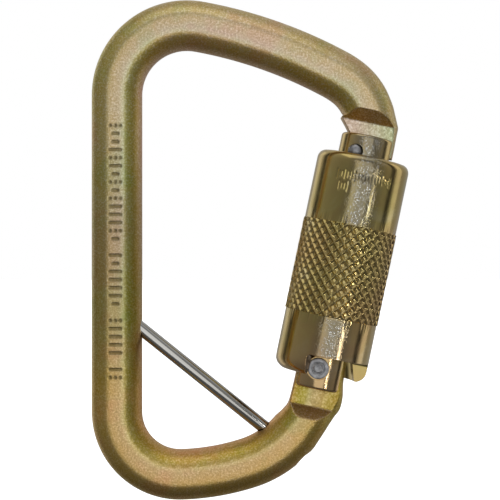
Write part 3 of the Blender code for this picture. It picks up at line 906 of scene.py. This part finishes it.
# ---- gate
def build_gate(material):
    """A turned rod with a snap ring's groove, a fork for the tang and a slot for the tongue."""
    edge = 0.75
    foot, top = ROD_BOTTOM_U, ROD_TOP_U
    profile = [(0.0, foot)] + arc((ROD_R - edge, foot + edge), edge, -90.0, 0.0, 5)
    profile += [(ROD_R, 43.5), (ROD_R - 0.8, 43.5), (ROD_R - 0.8, 45.0), (ROD_R, 45.0)]
    profile += arc((ROD_R - edge, top - edge), edge, 0.0, 90.0, 5) + [(0.0, top)]
    gate = piece("gate_rod", turned(profile, 128), material, "gate", "gate",
                 BARREL_PLACE)
    wide = ROD_R + 3.0
    bore = [(0.0, 6.4), (GATE_BORE_R, 6.4), (GATE_BORE_R, GATE_BORE_TOP_U), (0.0, 28.4)]
    rivet_at, latch_at, guide_at = (-AXIS_V, 0.0), (PIN_V, PIN_U), (0.0, GUIDE_PIN_U)
    seat = RIVET_SEAT_Y
    cut_away(gate, [
        slot_cutter("fork", -wide, wide, foot - 2.0, 7.4),
        fork_side_cutter("fork_inner", -5.2, foot),
        fork_side_cutter("fork_outer", 4.8, foot),
        slot_cutter("nose", 1.2 - ROD_R, wide, 48.6, top + 2.0),
        add_object("bore", turned(bore, 48), GATE_PLACE),
        round_cutter("rivet", RIVET_HOLE_R, -9.0, 9.0, rivet_at),
        round_cutter("seat_front", RIVET_SEAT_R, -9.0, -seat, rivet_at),
        round_cutter("seat_back", RIVET_SEAT_R, seat, 9.0, rivet_at),
        round_cutter("latch", PIN_R + 0.08, -9.0, 9.0, latch_at),
        round_cutter("guide", GUIDE_PIN_R + 0.2, 3.9, 9.0, guide_at),
    ], edge_mm=0.12)


def fork_side_cutter(name, v, foot):
    """Trims one side of the fork at v, with a rounded bottom corner."""
    corner_r, top = 1.0, NOTCH_CEILING_U + 0.6
    corner = arc((abs(v) - corner_r, foot + corner_r), corner_r, 0.0, -90.0, 6)
    outline = [(abs(v), top)] + corner + [(abs(v) - corner_r, foot - 2.0)]
    outline += [(ROD_R + 3.0, foot - 2.0), (ROD_R + 3.0, top)]
    outline = [(math.copysign(a, v), b) for a, b in outline]
    return add_object(name, prism(outline, -ROD_R - 2.0, ROD_R + 2.0), BARREL_PLACE)


def slot_cutter(name, v_low, v_high, u_low, u_high):
    """A block as thick as the slots that take the tang and the tongue."""
    outline = [(v_low, u_low), (v_high, u_low), (v_high, u_high), (v_low, u_high)]
    return add_object(name, prism(outline, -SLOT_Y, SLOT_Y), BARREL_PLACE)


def round_cutter(name, radius, low, high, centre):
    """A drill along Y from low to high, at centre (v, u)."""
    bm = turned_across([(0.0, low), (radius, low), (radius, high), (0.0, high)], 48)
    shift(bm, (centre[0], 0.0, centre[1]))
    return add_object(name, bm, BARREL_PLACE)


# ---- sleeve
def column_angle(column):
    return 360.0 * column / COLUMNS


def ring_vert(bm, radius, phi_deg, u):
    """A new vertex on the sleeve: phi 0 is the front, 90 the outer side."""
    t = math.radians(phi_deg)
    return bm.verts.new((radius * math.sin(t), -radius * math.cos(t), u))


def ridge(x):
    """Height, 0 to 1, of rounded ridges that stand at every whole x."""
    away = abs(x - round(x))
    return max(0.0, 1.0 - (away / RIDGE_WIDTH) ** 1.3)


def knurl_radius(phi_deg, u):
    """Diamond knurl: two families of helical ridges with square pits between them."""
    turn = KNURL_STARTS * phi_deg / 360.0
    pitch = 2.0 * math.pi * SLEEVE_R / KNURL_STARTS
    lean_left, lean_right = (math.tan(math.radians(slope)) / pitch for slope in KNURL_SLOPES_DEG)
    first, second = ridge(turn + u * lean_left), ridge(turn - u * lean_right)
    return KNURL_PIT_R + (KNURL_CREST_R - KNURL_PIT_R) * max(first, 0.80 * second)


def ceiling_drop(phi_deg):
    """The notch corners are rounded: how far the ceiling comes down near a skirt."""
    if any(low < phi_deg < high for low, high in SKIRTS):
        return 0.0
    edges = [edge for skirt in SKIRTS for edge in skirt]
    away = min(min(abs(phi_deg - edge), 360.0 - abs(phi_deg - edge)) for edge in edges)
    away = math.radians(away) * SLEEVE_R
    if away >= NOTCH_FILLET:
        return 0.0
    return NOTCH_FILLET - math.sqrt(NOTCH_FILLET ** 2 - (NOTCH_FILLET - away) ** 2)


def outer_rows():
    """(height, radius or None for knurl) up the outside, from the notch ceiling to the rim."""
    low, high = KNURL_U
    run_out = 0.12
    rows = [(u, SLEEVE_R) for u in (4.2, 6.5, 9.5, low - run_out)]
    rows += [(low + (high - low) * i / KNURL_ROWS, None) for i in range(KNURL_ROWS + 1)]
    rows += [(u, SLEEVE_R) for u in (high + run_out, 37.0, 40.0)]
    rows += [(41.0 + 0.2 * i, SLEEVE_R) for i in range(36)]
    top = SLEEVE_TOP_U
    rows += [(top - 1.9, SLEEVE_R), (top - 1.5, 10.95), (top - 1.1, 10.83), (top - 0.75, 10.65)]
    rows += [(top - 0.45, 10.4), (top - 0.2, 10.08), (top - 0.06, 9.8), (top, 9.45), (top, 9.25)]
    rows += [(top - 0.15, 9.05)]
    return rows


def inner_rows():
    """(height, radius) down the inside, from the rim to the notch ceiling."""
    rows = [(u, CHAMBER_R) for u in (45.0, 30.0, SHELF_U + 0.15)]
    rows += [(SHELF_U, CHAMBER_R - 0.15), (SHELF_U, SLEEVE_BORE_R + 0.2)]
    return rows + [(u, SLEEVE_BORE_R) for u in (SHELF_U - 0.2, 8.0, 4.6)]


def build_sleeve(material):
    bm = bmesh.new()
    angles = [column_angle(c) for c in range(COLUMNS)]
    ticks = sleeve_ticks()
    ceiling_out, ceiling_in = [], []
    for phi in angles:
        u = NOTCH_CEILING_U - ceiling_drop(phi)
        ceiling_out.append(ring_vert(bm, SLEEVE_R, phi, u))
        ceiling_in.append(ring_vert(bm, bore_radius(u), phi, u))
    rows = [ceiling_out]
    for u, radius in outer_rows():
        row = []
        for phi in angles:
            r = knurl_radius(phi, u) if radius is None else radius
            if radius == SLEEVE_R and u > TICKS_FROM_U:
                r -= tick_depth(ticks, phi, u)
            row.append(ring_vert(bm, r, phi, u))
        rows.append(row)
    rows += [[ring_vert(bm, radius, phi, u) for phi in angles] for u, radius in inner_rows()]
    skin(bm, rows + [ceiling_in])
    weight = bm.edges.layers.float.new("bevel_weight_edge")
    skirt_rows(bm, ceiling_out, ceiling_in, weight)
    notch_ceilings(bm, ceiling_out, ceiling_in, weight)
    sleeve = piece("lock_sleeve_knurled", bm, material, "sleeve",
                   "lock_sleeve", BARREL_PLACE, 35.0)
    rounded = sleeve.modifiers.new("notch_edges", 'BEVEL')
    rounded.width = 0.28 * MM
    rounded.segments = 3
    rounded.limit_method = 'WEIGHT'


def bore_radius(u):
    """The bore flares from the notch ceiling down to the skirts' ends."""
    return 7.1 + 1.4 * (NOTCH_CEILING_U - u) / (NOTCH_CEILING_U - SLEEVE_BOTTOM_U)


def skirt_profile():
    """(share of the way down, outer radius) of a skirt, drawn in to a thin foot."""
    return [(0.14, SLEEVE_R), (0.28, 10.99), (0.42, 10.96), (0.54, 10.88), (0.66, 10.68),
            (0.76, 10.42), (0.85, 10.08), (0.92, 9.7), (0.97, 9.35), (1.0, 9.05)]


def skirt_rows(bm, ceiling_out, ceiling_in, weight):
    """Grow both skirts down from the ceiling line, with flat cut faces at their sides."""
    for low, high in SKIRTS:
        first = round(low * COLUMNS / 360.0)
        last = round(high * COLUMNS / 360.0)
        columns = list(range(first, last + 1))
        outs = [[ceiling_out[c % COLUMNS] for c in columns]]
        ins = [[ceiling_in[c % COLUMNS] for c in columns]]
        for share, radius in skirt_profile():
            row_out, row_in = [], []
            for c in columns:
                phi = column_angle(c)
                start = ceiling_out[c % COLUMNS].co.z
                u = max(start + (SLEEVE_BOTTOM_U - start) * share, SLEEVE_BOTTOM_U)
                row_out.append(ring_vert(bm, radius, phi, u))
                row_in.append(ring_vert(bm, bore_radius(u), phi, u))
            outs.append(row_out)
            ins.append(row_in)
        for rows, flip in ((outs, True), (ins, False)):
            for a, b in zip(rows, rows[1:]):
                for i in range(len(columns) - 1):
                    loop = [a[i], a[i + 1], b[i + 1], b[i]]
                    bm.faces.new(loop if flip else list(reversed(loop)))
        for i in range(len(columns) - 1):
            bm.faces.new((outs[-1][i], outs[-1][i + 1], ins[-1][i + 1], ins[-1][i]))
        for end in (0, -1):
            for k in range(len(outs) - 1):
                face = bm.faces.new((outs[k][end], outs[k + 1][end], ins[k + 1][end], ins[k][end]))
                bm.edges.get((outs[k][end], outs[k + 1][end]))[weight] = 1.0
                face.smooth = False


def notch_ceilings(bm, ceiling_out, ceiling_in, weight):
    """Close the wall between the skirts."""
    for c in range(COLUMNS):
        d = (c + 1) % COLUMNS
        middle = column_angle(c) + 180.0 / COLUMNS
        if not any(low <= middle <= high for low, high in SKIRTS):
            bm.faces.new((ceiling_out[c], ceiling_in[c], ceiling_in[d], ceiling_out[d]))
            bm.edges.get((ceiling_out[c], ceiling_out[d]))[weight] = 1.0


def sleeve_ticks():
    """Two rows of plain straight ticks, like a scale, each (angle, height, half its length)."""
    pitch_deg, long_half, short_half = 3.8, 1.0, 0.55
    return [(start + pitch_deg * i, u, short_half if i % 3 else long_half)
            for u, start, count in ((45.6, -33.0, 19), (42.9, -27.0, 4)) for i in range(count)]


def tick_depth(ticks, phi_deg, u):
    depth = 0.0
    for phi, middle, half in ticks:
        away = (phi_deg - phi + 180.0) % 360.0 - 180.0
        if abs(away) > 4.0 or abs(u - middle) > half + 0.4:
            continue
        reach = math.hypot(math.radians(away) * SLEEVE_R, max(abs(u - middle) - half, 0.0))
        depth = max(depth, 1.0 - reach / TICK_HALF_WIDTH)
    return TICK_DEPTH * min(1.6 * max(depth, 0.0), 1.0)


def build_top_bush(material):
    inner, outer = ROD_R + 0.35, CHAMBER_R - 0.1
    low, high = 45.1, 49.6
    profile = [(outer, low)] + arc((outer - 0.25, high - 0.25), 0.25, 0.0, 90.0, 3)
    profile += arc((inner + 0.35, high - 0.35), 0.35, 90.0, 180.0, 4) + [(inner, low)]
    piece("sleeve_top_bush_turned", turned(profile, 96), material, "sleeve",
          "sleeve_top_bush", BARREL_PLACE)


# ---- what is inside
def build_retaining_ring(material):
    half_mouth = 28.0
    outer = arc((0.0, 0.0), 7.6, half_mouth, 360.0 - half_mouth, 72)
    inner = arc((0.0, 0.0), ROD_R - 0.5, 360.0 - half_mouth, half_mouth, 72)
    bm = prism(outer + inner, 43.8, 44.7, lambda a, b, depth: (a, b, depth))
    piece("snap_ring", bm, material, "gate", "sleeve_retaining_ring", BARREL_PLACE)


def build_plunger(material):
    foot = CAM_H + 0.3
    profile = [(0.0, foot), (2.5, foot)] + arc((2.5, foot + 0.4), 0.4, -90.0, 0.0, 4)
    profile += [(2.9, 9.0), (2.7, 9.2), (2.7, 9.8), (2.9, 10.0), (2.9, 13.7), (2.6, 14.0)]
    profile += [(1.5, 14.0), (1.5, 16.2), (1.2, 16.5), (0.0, 16.5)]
    piece("gate_plunger_turned", turned(profile, 64), material, "plunger",
          "gate_plunger", GATE_PLACE)


def helix(radius, low, high, turns, steps):
    """A coil from low to high, with three quarters of a flat turn at each end."""
    count = int(turns * steps)
    points = []
    for i in range(count + 1):
        turn = turns * i / count
        share = min(max((turn - 0.75) / (turns - 1.5), 0.0), 1.0)
        t, z = 2.0 * math.pi * turn, low + (high - low) * share
        points.append(Vector((radius * math.cos(t), radius * math.sin(t), z)))
    return points


def build_return_spring(material):
    wire = 0.4
    top = GATE_BORE_TOP_U - 0.3 - wire
    bm = tube(helix(2.25, SPRING_FOOT_U + wire, top, 8.5, 40), wire, 12)
    spring = piece("gate_return_coil", bm, material, "gate", "gate_return_spring",
                   GATE_PLACE)
    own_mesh(spring)


def build_torsion_spring(material):
    """Coil between rod and sleeve: one leg down into the shelf, one leg in to the rod."""
    wire = 0.5
    low = SHELF_U + 0.3 + wire
    coil = helix(7.6, low, 41.5, 12, 48)
    start, end = coil[0], coil[-1]
    coil = coil[:-4]
    lower = [Vector((start.x, 0.0, 8.8)), Vector((start.x, 0.0, low - 0.9))]
    lower.append(Vector((start.x, 0.1, low - 0.4)))
    upper = [Vector((end.x, -0.9, end.z)), Vector((end.x - 0.45, -0.15, end.z))]
    upper += [Vector((end.x - 1.35, 0.1, end.z)), Vector((4.6, 0.1, end.z))]
    bm = tube(lower + coil[2:-2] + upper, wire, 12)
    piece("sleeve_torsion_coil", bm, material, "gate", "sleeve_torsion_spring",
          BARREL_PLACE)


# ---- stage
LENS_MM = 114.9
CAMERA_Y = -0.380
LIGHTS = (  # name, place from the object's middle, size in metres, watts
    ("front_box", (0.05, -0.80, -0.03), (0.60, 0.90), 1.38),
    ("key_box", (0.42, -0.62, -0.22), (0.040, 0.36), 0.62),
    ("top_box", (0.0, -0.25, 0.75), (0.80, 0.60), 0.9),
    ("back_left_box", (-0.45, 0.52, 0.05), (0.24, 0.90), 0.28),
    ("back_right_box", (0.66, 0.14, 0.05), (0.22, 0.90), 0.32),
)


def build_camera():
    """Look straight at the front; returns the middle of the object."""
    low, high = CAD_BOX
    centre = (low + high) / 2.0
    data = bpy.data.cameras.new("camera")
    data.sensor_width = 36.0
    data.lens = LENS_MM
    data.clip_start = 0.01
    data.clip_end = 20.0
    camera = bpy.data.objects.new("camera", data)
    bpy.context.scene.collection.objects.link(camera)
    camera.location = (centre.x, CAMERA_Y, centre.z)
    camera.rotation_euler = (math.radians(90.0), 0.0, 0.0)
    bpy.context.scene.camera = camera
    return centre


def soft_box(centre, name, away, size, power):
    """A rectangular studio light at centre + away, facing the object."""
    data = bpy.data.lights.new(name, 'AREA')
    data.shape = 'RECTANGLE'
    data.size, data.size_y = size
    data.energy = power
    light = bpy.data.objects.new(name, data)
    bpy.context.scene.collection.objects.link(light)
    light.location = centre + Vector(away)
    light.rotation_euler = Vector(away).to_track_quat('Z', 'Y').to_euler()
    light.visible_camera = False


def build_world():
    """White to the camera; for light and reflections a soft grey room with a dark band."""
    world = bpy.data.worlds.new("studio")
    bpy.context.scene.world = world
    n = Nodes(world, "Generated")
    room = n.tree.nodes["Background"]
    lean = n.math('MULTIPLY_ADD', n.along("X"), 0.14, n.spread(n.along("Y"), 0.0, 1.0, -1.0, 1.0))
    greys = [(0.0, 0.20), (0.12, 0.22), (0.30, 0.26), (0.48, 0.34), (0.53, 0.06), (0.60, 0.05),
             (0.65, 0.36), (1.0, 0.40)]
    n.link(n.ramp(lean, [(at, (grey, grey, grey)) for at, grey in greys]), room.inputs["Color"])
    n.link(n.spread(n.along("Z"), 0.35, 1.60, -1.0, 1.0), room.inputs["Strength"])
    white = n.new("ShaderNodeBackground", Color=(1.0, 1.0, 1.0, 1.0))
    mix = n.new("ShaderNodeMixShader")
    n.link(n.new("ShaderNodeLightPath").outputs["Is Camera Ray"], mix.inputs["Fac"])
    n.link(room.outputs["Background"], mix.inputs[1])
    n.link(white.outputs["Background"], mix.inputs[2])
    n.link(mix.outputs["Shader"], n.tree.nodes["World Output"].inputs["Surface"])


def build_floor(centre):
    """A plain pale floor just below the hanging connector."""
    bm = bmesh.new()
    bmesh.ops.create_circle(bm, cap_ends=True, radius=3.0, segments=96)
    mesh = bpy.data.meshes.new("floor")
    bm.to_mesh(mesh)
    bm.free()
    pale = bpy.data.materials.new("pale_floor")
    pale.use_nodes = True
    shader = pale.node_tree.nodes["Principled BSDF"]
    shader.inputs["Base Color"].default_value = (0.93, 0.93, 0.93, 1.0)
    shader.inputs["Roughness"].default_value = 0.9
    shader.inputs["Emission Color"].default_value = (1.0, 1.0, 1.0, 1.0)
    shader.inputs["Emission Strength"].default_value = 1.0
    mesh.materials.append(pale)
    floor = bpy.data.objects.new("floor", mesh)
    bpy.context.scene.collection.objects.link(floor)
    floor.location = (centre.x, 0.0, CAD_BOX[0].z - 0.004)
    floor.visible_glossy = False
    floor.visible_diffuse = False


def main():
    bpy.context.scene.view_settings.view_transform = 'Standard'
    centre = build_camera()
    build_world()
    for light in LIGHTS:
        soft_box(centre, *light)
    build_floor(centre)
    zinc_body = zinc_body_material()
    zinc_polished = zinc_polished_material()
    bright = bright_steel_material()
    grey = grey_steel_material()
    wire = spring_steel_material()
    place = captive_place()
    build_body(zinc_body, place)
    build_captive_bar(bright, place)
    build_gate(zinc_polished)
    build_rivet(grey)
    build_latch_pin(grey)
    build_guide_pin(bright)
    build_retaining_ring(wire)
    build_plunger(grey)
    build_return_spring(wire)
    build_torsion_spring(wire)
    build_sleeve(zinc_polished)
    build_top_bush(zinc_polished)


main()
